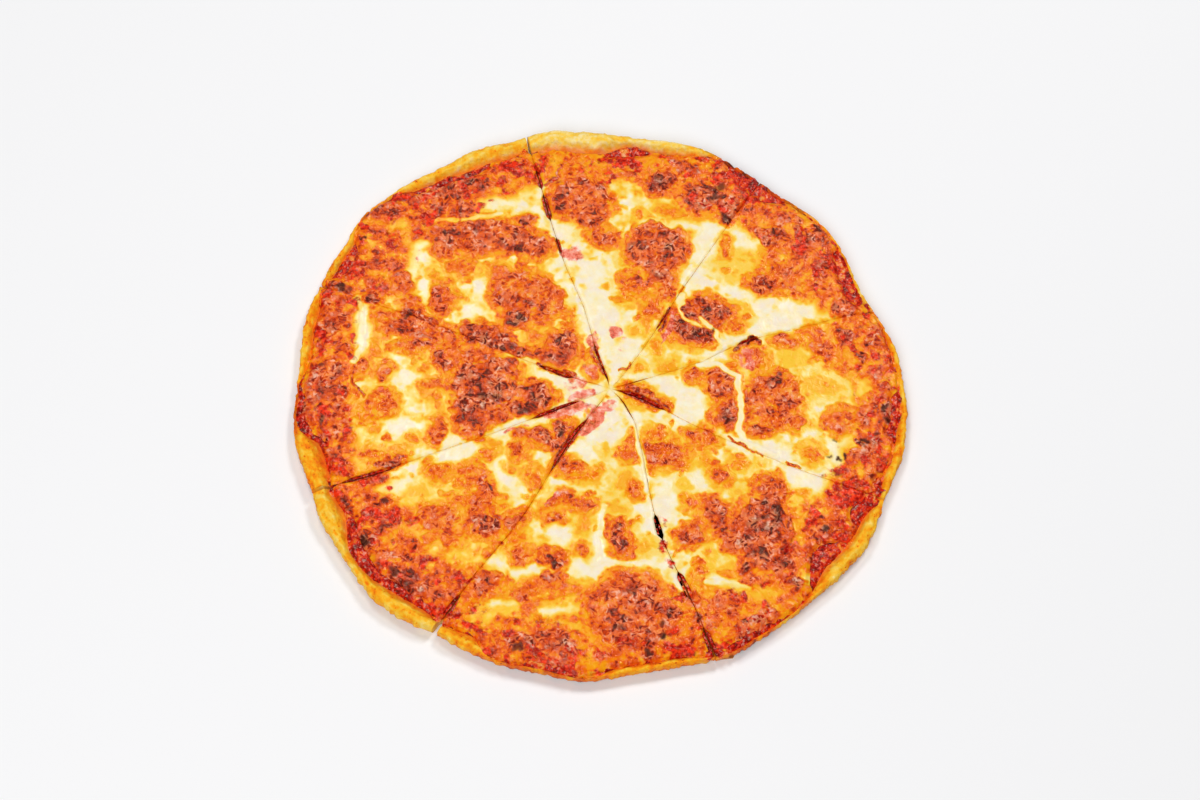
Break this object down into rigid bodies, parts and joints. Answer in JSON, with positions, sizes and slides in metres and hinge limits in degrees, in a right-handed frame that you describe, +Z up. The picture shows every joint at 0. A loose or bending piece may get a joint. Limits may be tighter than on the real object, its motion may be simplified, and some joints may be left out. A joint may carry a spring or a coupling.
{
  "type": "pepperoni pizza",
  "caption": "Thin-crust pepperoni pizza cut into slices that still lie together, with tomato sauce, browned melted cheese and rounds of pepperoni.",
  "frame": {"origin": "middle of the flat underside of the crust", "axes": "+Z up out of the toppings; +X to the right and +Y away from the viewer, as the pizza lies in front of the person who eats it"},
  "size_m": [0.3004, 0.305, 0.0095],
  "materials": {
    "crust": "matt baked crust, pale gold with brown freckles",
    "sauce": "moist tomato red",
    "cheese": "glossy melted cheese, cream to golden with red-brown blisters",
    "pepperoni": "oily red-brown sausage, blistered"
  },
  "bodies": {
    "root": {"cheese_1": "cheese", "cheese_2": "cheese", "cheese_3": "cheese", "cheese_4": "cheese", "cheese_5": "cheese", "cheese_6": "cheese", "cheese_7": "cheese", "cheese_8": "cheese", "crust_1": "crust", "crust_2": "crust", "crust_3": "crust", "crust_4": "crust", "crust_5": "crust", "crust_6": "crust", "crust_7": "crust", "crust_8": "crust", "pepperoni_1_1": "pepperoni", "pepperoni_1_2": "pepperoni", "pepperoni_1_3": "pepperoni", "pepperoni_2_1": "pepperoni", "pepperoni_2_2": "pepperoni", "pepperoni_2_3": "pepperoni", "pepperoni_2_4": "pepperoni", "pepperoni_2_5": "pepperoni", "pepperoni_3_1": "pepperoni", "pepperoni_3_2": "pepperoni", "pepperoni_3_3": "pepperoni", "pepperoni_3_4": "pepperoni", "pepperoni_4_1": "pepperoni", "pepperoni_4_2": "pepperoni", "pepperoni_4_3": "pepperoni", "pepperoni_4_4": "pepperoni", "pepperoni_4_5": "pepperoni", "pepperoni_5_1": "pepperoni", "pepperoni_5_2": "pepperoni", "pepperoni_5_3": "pepperoni", "pepperoni_5_4": "pepperoni", "pepperoni_5_5": "pepperoni", "pepperoni_5_6": "pepperoni", "pepperoni_6_1": "pepperoni", "pepperoni_6_2": "pepperoni", "pepperoni_6_3": "pepperoni", "pepperoni_6_4": "pepperoni", "pepperoni_6_5": "pepperoni", "pepperoni_7_1": "pepperoni", "pepperoni_7_2": "pepperoni", "pepperoni_7_3": "pepperoni", "pepperoni_7_4": "pepperoni", "pepperoni_8_1": "pepperoni", "pepperoni_8_2": "pepperoni", "pepperoni_8_3": "pepperoni", "sauce_1": "sauce", "sauce_2": "sauce", "sauce_3": "sauce", "sauce_4": "sauce", "sauce_5": "sauce", "sauce_6": "sauce", "sauce_7": "sauce", "sauce_8": "sauce"}
  },
  "joints": []
}
